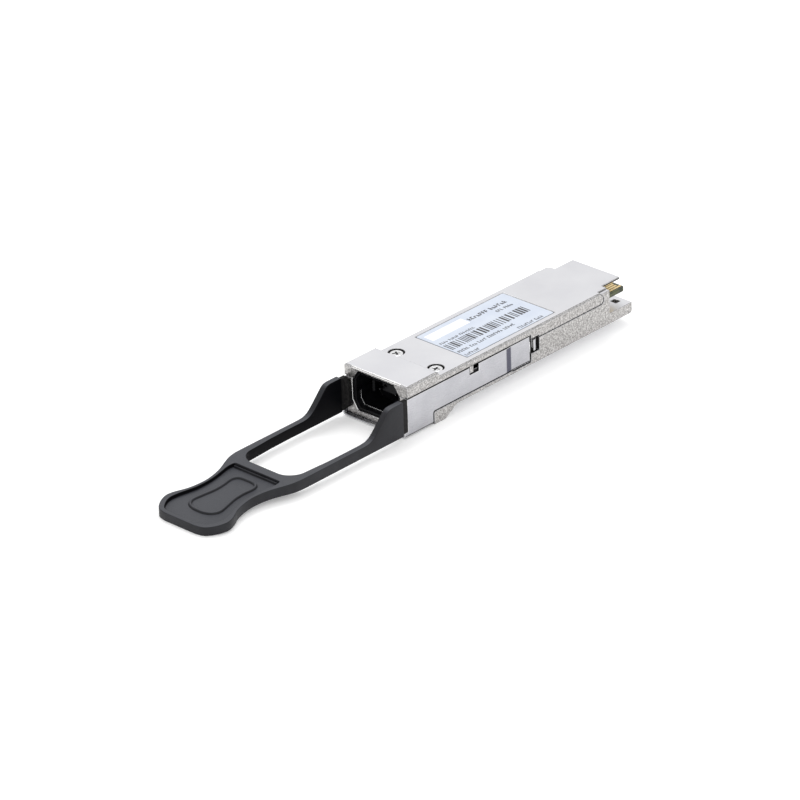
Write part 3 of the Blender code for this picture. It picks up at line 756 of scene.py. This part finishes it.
def latch_plate(side):
    """Side plate with its stop notch and the tail that the tab's arm is moulded on."""
    lower = arc((8.45, 0.5), 0.55, 180, 90, 5)
    outline = [(0, -1.0), (7.9, -1.0)] + lower + [
        (LATCH_END, LATCH_Z[0]), (LATCH_END, LATCH_Z[1]), (NOTCH_Y[1], LATCH_Z[1]), (NOTCH_Y[1], 5.0),
        (NOTCH_Y[0], 5.0), (NOTCH_Y[0], LATCH_Z[1]), (0, LATCH_Z[1]), (0, 5.5), (-6.0, 5.5), (-6.0, 1.5),
        (0, 1.5),
    ]
    return prism("tool", "X", outline, *sorted((side * LATCH_OUT, side * (LATCH_OUT - LATCH_T))))


def latch_hook(side):
    """Spring tang at the plate's rear end, jogged in and back out."""
    outline = [
        (9.125, 38.5), (9.125, 38.85), (8.62, 39.2), (8.62, 39.95), (9.1, 40.1), (9.1, 40.65),
        (8.75, 40.65), (8.22, 40.3), (8.22, 39.1), (8.725, 38.75), (8.725, 38.5),
    ]
    return prism("tool", "Z", [(side * x, y) for x, y in outline], 2.95, 5.55)


def joggle(side):
    """Wedge that sinks the plate's rear end into the housing by half the sheet, over a short ramp."""
    outside, sunk = LATCH_OUT + 1, LATCH_OUT - 0.16
    ramp, rear = JOGGLE_Y
    outline = [(LATCH_OUT + 0.02, ramp), (sunk, rear), (sunk, 38.86), (outside, 38.86), (outside, ramp)]
    return prism("tool", "Z", [(side * x, y) for x, y in outline], 0.5, 7.5)


def build_latch(steel, edge, gap):
    """Bent sheet: a strap under the nose, two side plates, a hook and a spring lug on each."""
    outer, inner = LATCH_OUT, LATCH_OUT - LATCH_T
    bend, bend_top = 0.7, -0.8
    right = [(outer, bend_top)] + arc((outer - bend, STRAP_Z + bend), bend, 0, -90, 8)
    inner_bend = bend - LATCH_T
    inside = arc((inner - inner_bend, STRAP_Z + bend), inner_bend, -90, 0, 8) + [(inner, bend_top)]
    outline = right + [(-x, z) for x, z in reversed(right)]
    outline += [(-x, z) for x, z in reversed(inside)] + inside
    latch = prism("latch_plate", "Y", outline, STRAP_FRONT, 7.9)
    add(latch, *both_sides(latch_plate))
    add(latch, *both_sides(latch_hook))
    add(latch, *both_sides(side_box, (7.2, 8.9), (LUG_Y, LUG_Y + 0.4), (3.15, 4.45)))
    cut(latch, *both_sides(joggle))
    cut(latch, *map(shadowed, both_sides(side_box, (8.6, BEYOND), (38.95, 40.05), (2.9, 5.6))))
    merge_flats(latch)
    round_edges(latch, 0.07, edge_material=EDGE)
    shade(latch)
    return piece(latch, "latch", (steel, edge, gap), ["release_latch"])


def build_spring(side, wire_metal):
    """Return coil between the channel's front wall and the latch's lug."""
    radius, wire, turns, per_turn, ring = 0.56, 0.11, 9, 28, 8
    y_start, y_end = COIL_FRONT, LUG_Y - 0.18
    shape = bmesh.new()
    rings = []
    total = turns * per_turn
    for i in range(total + 1):
        turn = 2 * math.pi * i / per_turn
        outward = Vector((math.cos(turn), 0, math.sin(turn)))
        axis = Vector((side * COIL_X, y_start + (y_end - y_start) * i / total, COIL_Z))
        middle = axis + outward * radius
        offsets = [outward * u + Vector((0, v, 0)) for u, v in circle((0, 0), wire, ring)]
        rings.append([shape.verts.new(middle + offset) for offset in offsets])
    for first, second in zip(rings, rings[1:]):
        for i in range(ring):
            j = (i + 1) % ring
            shape.faces.new((first[i], first[j], second[j], second[i]))
    shape.faces.new(rings[0])
    shape.faces.new(list(reversed(rings[-1])))
    coil = new_object("return_coil_right" if side > 0 else "return_coil_left", shape)
    shade(coil, 60)
    node = "latch_spring_right" if side > 0 else "latch_spring_left"
    piece(coil, "housing", (wire_metal,), [node])
    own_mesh(coil)
    return coil


# ------------------------------------------------------------------- pull tab

def tab_outline():
    """Right-hand half of the tab's plan, from the front edge to the arms' end."""
    side = [
        (4.3, TAB_END), (6.2, -58.8), (7.4, -57.9), (8.5, -56.3), (9.05, -54.8), (9.15, -53.7),
        (8.85, -52.5), (8.3, -51.3), (7.55, -49.8), (6.95, -47.8), (6.62, -45.2), (6.8, -42.7),
        (7.45, -40.0), (8.45, -37.6), (9.3, -35.4), (9.68, -33.2), (TAB_HALF_W, -30.5),
    ]
    return smooth_through(side, 5) + [(TAB_HALF_W, -15.0), (TAB_HALF_W, ARM_END)]


def finger_hole():
    """Right-hand half of the finger opening, from an arm's end to the grip."""
    corner = arc((3.8, -30.0), 4.0, -8, -90, 14)
    return [(ARM_IN, ARM_END), (ARM_IN, -19.0), (8.15, -24.0), (7.95, -27.0)] + corner


def grip_panel():
    """Right-hand half of the sunk panel inside the grip's rim."""
    side = [
        (3.7, TAB_END + 0.8), (5.6, -57.9), (6.7, -56.8), (7.5, -55.3), (7.75, -53.9), (7.4, -52.0),
        (6.7, -49.8), (6.15, -47.8), (5.9, -45.2), (6.0, -42.8), (6.4, -40.2), (6.75, -38.1),
        (6.62, -36.6), (6.3, -36.2),
    ]
    return smooth_through(side, 5)


def bead_path():
    """Right-hand half of the raised line that rings the thumb pad, down its middle."""
    points = [
        (0.0, -53.7), (0.7, -53.7), (1.6, -53.6), (3.0, -53.05), (3.85, -52.05), (4.0, -50.8),
        (3.5, -48.4), (3.05, -46.0), (3.0, -43.6), (3.3, -41.3), (3.05, -40.0), (2.2, -39.25),
        (0.9, -39.05), (0.0, -39.05),
    ]
    return smooth_through(points, 4)


def build_bead(plastic):
    """The raised line itself: a half-round bar swept round the closed path."""
    right = bead_path()
    path = right + [(-x, y) for x, y in reversed(right[1:-1])]
    floor = TAB_TOP - RIM_DROP
    section = [(-0.46, -0.15), (-0.4, 0.05)] + arc((0, 0.12), 0.3, 165, 15, 5) + [(0.4, 0.05), (0.46, -0.15)]
    shape = bmesh.new()
    rings = []
    count = len(path)
    for i, (x, y) in enumerate(path):
        before, after = path[i - 1], path[(i + 1) % count]
        along = Vector((after[0] - before[0], after[1] - before[1])).normalized()
        out = Vector((along.y, -along.x))
        z = floor - grip_drop(y)
        rings.append([shape.verts.new((x + out.x * u, y + out.y * u, z + v)) for u, v in section])
    for first, second in zip(rings, rings[1:] + rings[:1]):
        for i in range(len(section)):
            j = (i + 1) % len(section)
            shape.faces.new((first[i], first[j], second[j], second[i]))
    bead = new_object("tab_bead", shape)
    shade(bead, 50)
    return piece(bead, "latch", (plastic,))


def between(points, y):
    """The height at y on a line of (y, z) points that runs towards +Y."""
    for (y0, z0), (y1, z1) in zip(points, points[1:]):
        if y0 <= y <= y1:
            return z0 + (z1 - z0) * (y - y0) / (y1 - y0)
    return points[0][1] if y < points[0][0] else points[-1][1]


ARM_CURVE = smooth_through([
    (-14.5, TAB_TOP), (-12.8, 1.6), (-11.4, 2.1), (-10.2, 3.05), (-9.0, 4.25), (-7.8, 5.5), (-6.7, 6.6),
    (-6.0, 7.0), (-5.2, ARM_TOP),
], 4)


def grip_drop(y):
    """How far the grip's top sinks below the arms' level at y: a short bend, a slope, then a curl."""
    bend = 3.0            # the bend's length along the tab
    beyond = TAB_BEND_Y + bend / 2 - y
    start, end, depth = TAB_CURL
    curl = min(1, max(0, (start - y) / (start - end)))
    if beyond <= 0:
        return 0
    if beyond < bend:
        return TAB_SLOPE * beyond * beyond / (2 * bend)
    return TAB_SLOPE * (beyond - bend / 2) + depth * curl * curl


def bend_tab(obj):
    """Raises the arms and lowers the grip, after cutting the mesh across so that it can bend."""
    shape = bmesh.new()
    shape.from_mesh(obj.data)
    stations = [y for y, _ in ARM_CURVE[::2]] + [TAB_BEND_Y - 1.8 + 0.4 * i for i in range(10)]
    stations += [TAB_CURL[0] - 1.5 * i for i in range(8)]
    for y in stations:
        geometry = shape.verts[:] + shape.edges[:] + shape.faces[:]
        at = ORIGIN + Vector((0, y, 0)) * MM
        bmesh.ops.bisect_plane(shape, geom=geometry, plane_co=at, plane_no=(0, 1, 0), dist=1e-7)
    middle = (TAB_TOP - RIM_DROP + TAB_LOW) / 2
    for vertex in shape.verts:
        place = (vertex.co - ORIGIN) / MM
        if place.z > middle:
            vertex.co.z += (between(ARM_CURVE, place.y) - TAB_TOP - grip_drop(place.y)) * MM
        else:
            sink = max(0, TAB_BEND_Y - place.y) * TAB_SLOPE
            vertex.co.z -= max(0, sink - TAB_THINNING) * MM
    shape.to_mesh(obj.data)
    shape.free()


def build_tab(plastic):
    """Both arms and the grip in one moulding, with the sunk panel and the rib along its rear wall."""
    tab = prism("pull_tab_moulding", "Z", mirrored(tab_outline() + finger_hole()), TAB_LOW, TAB_TOP)
    cut(tab, prism("tool", "Z", mirrored(grip_panel()), TAB_TOP - RIM_DROP, TAB_TOP + 1))
    add(tab, box("tool", (-6.35, 6.2), (-36.85, -36.62), (TAB_TOP - RIM_DROP - 0.2, TAB_TOP - 0.3)))
    merge_flats(tab)
    round_edges(tab, 0.15, segments=3, angle=40)
    apply_modifiers(tab)
    bend_tab(tab)
    shade(tab, 40)
    return piece(tab, "latch", (plastic,), ["pull_tab"])


def build_tab_root(side, finish):
    """The arm's thin end against the nose, with the flange that laps the port's jamb."""
    name = "tab_root_right" if side > 0 else "tab_root_left"
    low = -0.7
    neck = [(ARM_END - 0.5, low), (-0.15, low), (-0.15, 6.9), (ARM_END - 0.5, 6.9)]
    root = prism(name, "X", neck, *sorted((side * (ARM_IN + 0.05), side * NECK_OUT)))
    flange = [(6.95, 0.45), (8.5, 0.45), (8.5, 6.9), (8.3, 6.9), (6.95, 5.1)]
    add(root, prism("tool", "Y", [(side * x, z) for x, z in flange], -1.3, -0.15))
    merge_flats(root)
    round_edges(root, 0.08, segments=3)
    shade(root)
    # the finish passed in is the painted gap shade, deeper black than the tab, standing in for the shade by
    # the nose
    return piece(root, "latch", (finish,))


# --------------------------------------------------------------------- optics

def build_receptacle(plastic):
    """Black liner of the port with a snap hook on each side and a window at its back."""
    liner = prism("port_liner", "Y", port_outline(0.06), 0.35, 8.9)
    cavity = mirrored([(5.2, 0.35), (6.2, 1.8), (6.2, 6.8), (4.9, 8.35)])
    cut(liner, prism("tool", "Y", cavity, -1, 7.4))
    cut(liner, box("tool", (-3.3, 3.3), (7, 10), (PORT_MID_Z - 1.35, PORT_MID_Z + 1.35)))
    for side in (1, -1):
        hook = [(4.6, 3.7), (5.0, 4.3), (4.8, 4.9), (4.8, 8.0), (4.1, 8.0), (4.1, 4.1)]
        add(liner, prism("tool", "Z", [(side * x, y) for x, y in hook], 3.0, 5.7))
    merge_flats(liner)
    round_edges(liner, 0.1)
    shade(liner)
    return piece(liner, "housing", (plastic,), ["mpo_receptacle"])


def build_port_spring(steel):
    """Thin grounding strip bent along the liner's lower left corner."""
    outer = [(-6.2, 3.6), (-6.2, 1.8), (-5.2, 0.35), (2.0, 0.35)]
    inner = [(-6.0, 3.6), (-6.0, 1.86), (-5.1, 0.53), (2.0, 0.53)]
    strip = prism("port_ground_strip", "Y", outer + list(reversed(inner)), 1.7, 1.9)
    round_edges(strip, 0.03)
    shade(strip)
    return piece(strip, "housing", (steel,))


# ---------------------------------------------------------------------- label

def build_label(film):
    corner = 0.35
    x, (front, rear) = LABEL_HALF_W - corner, LABEL_Y
    right = arc((x, front + corner), corner, -90, 0, 6) + arc((x, rear - corner), corner, 0, 90, 6)
    label = prism("label_sheet", "Z", mirrored(right), LABEL_Z - 0.1, LABEL_Z)
    shade(label)
    return piece(label, "housing", (film,), ["label"])


def blocks(name, plans, z):
    """Separate cuboids in one object, each plan being (x low, x high, y low, y high)."""
    shape = bmesh.new()
    for x0, x1, y0, y1 in plans:
        corners = [(x0, y0), (x1, y0), (x1, y1), (x0, y1)]
        under, over = [[shape.verts.new((x, y, height)) for x, y in corners] for height in z]
        shape.faces.new(under)
        shape.faces.new(over)
        for i in range(4):
            j = (i + 1) % 4
            shape.faces.new((under[i], under[j], over[j], over[i]))
    return new_object(name, shape)


def flat_marks(name, marks, material):
    """Thin printed rectangles that stand a few microns proud of the label."""
    return piece(blocks(name, marks, (LABEL_Z - 0.01, LABEL_Z + 0.006)), "housing", (material,))


def greeked_row(draw, x, y_range, height):
    """A row of broken strokes in word-like groups that reads as small print from afar and says nothing."""
    marks = []
    stroke, pitch = 0.26 * height, 0.74 * height
    y = y_range[0]
    while y < y_range[1] - pitch:
        for _ in range(draw.randint(3, 8)):
            if y > y_range[1] - pitch:
                break
            low, high = x - height / 2, x + height / 2
            short = draw.choice((0, 0, 0.3)) * height
            marks.append((low + short, high, y, y + stroke))
            for at in draw.sample((0.0, 0.4, 0.78), draw.choice((1, 2))):
                bar = low + short + (height - short) * at
                marks.append((bar, bar + height * 0.2, y + stroke, y + pitch - stroke * 0.6))
            y += pitch
        y += pitch * 0.7
    return marks


def bar_block(draw, x_range, y_range):
    """Bars of random widths on a fixed module; they encode nothing."""
    marks = []
    unit = 0.29
    y = y_range[0]
    while y < y_range[1]:
        width = unit * draw.choice((1, 1, 2))
        marks.append((*x_range, y, min(y + width, y_range[1])))
        y += width + unit * draw.choice((1, 1, 2))
    return marks


def build_label_print(ink, white):
    draw = random.Random(7)
    marks = bar_block(draw, (-0.1, 2.9), (21.2, 46.6))
    marks += greeked_row(draw, -4.4, (34.0, 46.2), 1.2)
    marks += greeked_row(draw, -2.4, (40.9, 46.5), 0.9)
    marks += greeked_row(draw, -1.05, (21.4, 32.4), 0.8)
    marks += greeked_row(draw, 4.5, (21.1, 39.6), 0.9)
    marks += greeked_row(draw, 6.6, (37.9, 46.0), 0.85)
    marks += greeked_row(draw, 6.6, (21.1, 26.2), 0.85)
    flat_marks("label_print", marks, ink)
    flat_marks("label_strip", [LABEL_FIELD], white)


# ---------------------------------------------------------------------- board

def build_board(laminate):
    notch = 0.5
    outline = mirrored([
        (BOARD_HALF_W, CARD_LOW.y), (BOARD_HALF_W, CARD_NECK), (CARD_HIGH.x, CARD_NECK),
        (CARD_HIGH.x, CARD_HIGH.y - notch), (CARD_HIGH.x - notch, CARD_HIGH.y),
    ])
    board = prism("card", "Z", outline, CARD_LOW.z, CARD_HIGH.z)
    merge_flats(board)
    round_edges(board, 0.12)
    shade(board)
    return piece(board, "housing", (laminate,), ["circuit_board"])


def build_contacts(name, node, gold):
    """Separate plated contacts on one face of the card, every third one reaching nearer its edge."""
    low, high = node_box(node)
    count, pitch, width, short = 19, 0.8, 0.56, 0.55
    plans = []
    for i in range(count):
        x = (i - (count - 1) / 2) * pitch
        rear = high.y - (short if i % 3 else 0)
        plans.append((x - width / 2, x + width / 2, low.y, rear))
    contacts = blocks(name, plans, (low.z, high.z))
    round_edges(contacts, 0.015)
    shade(contacts)
    return piece(contacts, "housing", (gold,), [node])


def finish_hidden_nodes():
    """Welds and rounds the carried-over nodes inside the housing and gives each its own finish."""
    steel = grainy("pin_steel", (0.09, 0.09, 0.095), (0.15, 0.15, 0.155), 0.3, 0.22, 0.004, metallic=1.0)
    resin = grainy("chip_resin", (0.022, 0.022, 0.023), (0.038, 0.038, 0.040), 0.12, 0.5, 0.01)
    ceramic = grainy("chip_ceramic", (0.34, 0.24, 0.14), (0.50, 0.38, 0.25), 0.2, 0.42, 0.006)
    ferrite = grainy("ferrite", (0.09, 0.09, 0.09), (0.17, 0.17, 0.165), 0.15, 0.6, 0.02)
    optical = grainy("optical_resin", (0.42, 0.20, 0.04), (0.58, 0.32, 0.09), 1.5, 0.14, 0.004)
    ferrule = grainy("ferrule_resin", (0.012, 0.012, 0.014), (0.022, 0.022, 0.024), 0.15, 0.5, 0.008)
    ribbon = grainy("ribbon_coating", (0.07, 0.38, 0.45), (0.12, 0.50, 0.57), 0.6, 0.36, 0.01)
    filler = grainy("gap_filler", (0.46, 0.53, 0.60), (0.60, 0.66, 0.72), 0.4, 0.78, 0.03)
    elastomer = grainy("conductive_elastomer", (0.22, 0.22, 0.23), (0.36, 0.36, 0.37), 0.15, 0.7, 0.02)
    looks = {
        "guide_pin_left": steel, "guide_pin_right": steel, "ferrule_retainer": steel,
        "mt_ferrule": ferrule, "fibre_ribbon": ribbon, "lens_block": optical,
        "vcsel_array": ceramic, "photodiode_array": ceramic,
        "laser_driver_chip": resin, "receiver_chip": resin, "microcontroller": resin,
        "voltage_regulator": resin, "power_inductor": ferrite, "thermal_pad": filler,
        "board_cushion": elastomer, "emi_gasket_left": elastomer, "emi_gasket_right": elastomer,
    }
    for i in range(4):
        looks[f"coupling_capacitor_{i + 1}"] = ceramic
    for name, material in looks.items():
        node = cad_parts[name]
        node.data.materials.clear()
        node.data.materials.append(material)
        weld = node.modifiers.new("welded", "WELD")
        weld.merge_threshold = 0.002 * MM
        round_edges(node, 0.05)


# ---------------------------------------------------------------------- stage

def place_camera():
    """A long lens from the front right, 27 degrees above the floor."""
    azimuth, elevation, roll = (math.radians(a) for a in (43.902, 27.051, -1.991))
    distance, shift_across, shift_up = 1119.23, 1.7609, 3.6316
    flat = math.cos(elevation)
    back = Vector((math.sin(azimuth) * flat, -math.cos(azimuth) * flat, math.sin(elevation)))
    level = Vector((0, 0, 1)).cross(back).normalized()
    upright = back.cross(level)
    across = math.cos(roll) * level + math.sin(roll) * upright
    up = math.cos(roll) * upright - math.sin(roll) * level
    aim = Vector((0, 10, 4)) - shift_across * across - shift_up * up
    data = bpy.data.cameras.new("camera")
    data.sensor_width = 36
    data.lens = 236.017
    data.clip_start = 0.01
    data.clip_end = 20
    camera = bpy.data.objects.new("camera", data)
    turn = Matrix((across, up, back)).transposed().to_4x4()
    camera.matrix_world = Matrix.Translation(ORIGIN + (aim + back * distance) * MM) @ turn
    bpy.context.scene.collection.objects.link(camera)
    bpy.context.scene.camera = camera


def area_light(name, place, size, power):
    """A square light at a place in metres, turned towards the frame's origin."""
    data = bpy.data.lights.new(name, "AREA")
    data.shape = "SQUARE"
    data.size = size
    data.energy = power
    light = bpy.data.objects.new(name, data)
    light.location = place
    light.rotation_euler = (-Vector(place)).to_track_quat("-Z", "Y").to_euler()
    bpy.context.scene.collection.objects.link(light)


def build_stage():
    """A plain, evenly lit white table, a white surround and two soft lights."""
    reach, clearance = 4.0, 0.00002
    shape = bmesh.new()
    corners = [(-reach, -reach), (reach, -reach), (reach, reach), (-reach, reach)]
    shape.faces.new([shape.verts.new((x, y, 0)) for x, y in corners])
    mesh = bpy.data.meshes.new("floor")
    shape.to_mesh(mesh)
    shape.free()
    floor = bpy.data.objects.new("floor", mesh)
    floor.location.z = cad_box[0].z - clearance
    bpy.context.scene.collection.objects.link(floor)
    s = Surface("light_table", (0.90, 0.90, 0.90), 0.7, specular=0.2)
    s.color(s.shades(s.noise(60.0), 0.3, 0.7, (0.895, 0.895, 0.895), (0.905, 0.905, 0.905)))
    s.shader.inputs["Emission Color"].default_value = (1, 1, 1, 1)
    s.shader.inputs["Emission Strength"].default_value = 0.24
    mesh.materials.append(s.material)

    world = bpy.data.worlds.new("studio")
    world.use_nodes = True
    sky = world.node_tree.nodes["Background"]
    sky.inputs["Color"].default_value = (1, 1, 1, 1)
    sky.inputs["Strength"].default_value = 0.98
    bpy.context.scene.world = world
    area_light("overhead", (-0.33, 0.28, 0.9), 0.5, 3.0)
    area_light("front_fill", (0.55, -0.6, 0.5), 0.5, 0.4)
    bpy.context.scene.view_settings.view_transform = "Standard"


def main():
    place_camera()
    build_stage()
    # gap is the painted shade for the walls of narrow gaps and recesses
    casting, casting_edge, gap = die_cast(), cast_edge(), gap_shade()
    steel, bright_steel = stainless(), bright_steel_with_edge_highlight()
    plastic, liner = tab_plastic(), liner_plastic()
    build_base(casting, casting_edge, gap)
    build_cover(casting, casting_edge, gap)
    both_sides(build_screw, bright_steel, gap)
    build_latch(steel, bright_steel, gap)
    build_tab(plastic)
    build_bead(plastic)
    # the tab roots take the painted gap shade
    both_sides(build_tab_root, gap)
    build_receptacle(liner)
    build_port_spring(bright_steel)
    build_label(label_film())
    build_label_print(print_ink(), print_white())
    build_board(board_laminate())
    gold = gold_plate()
    build_contacts("card_contacts_upper", "contact_row_top", gold)
    build_contacts("card_contacts_lower", "contact_row_bottom", gold)
    wire = grainy("spring_wire", (0.45, 0.45, 0.46), (0.60, 0.60, 0.61), 0.2, 0.26, 0.004, metallic=1.0)
    both_sides(build_spring, wire)
    finish_hidden_nodes()


main()
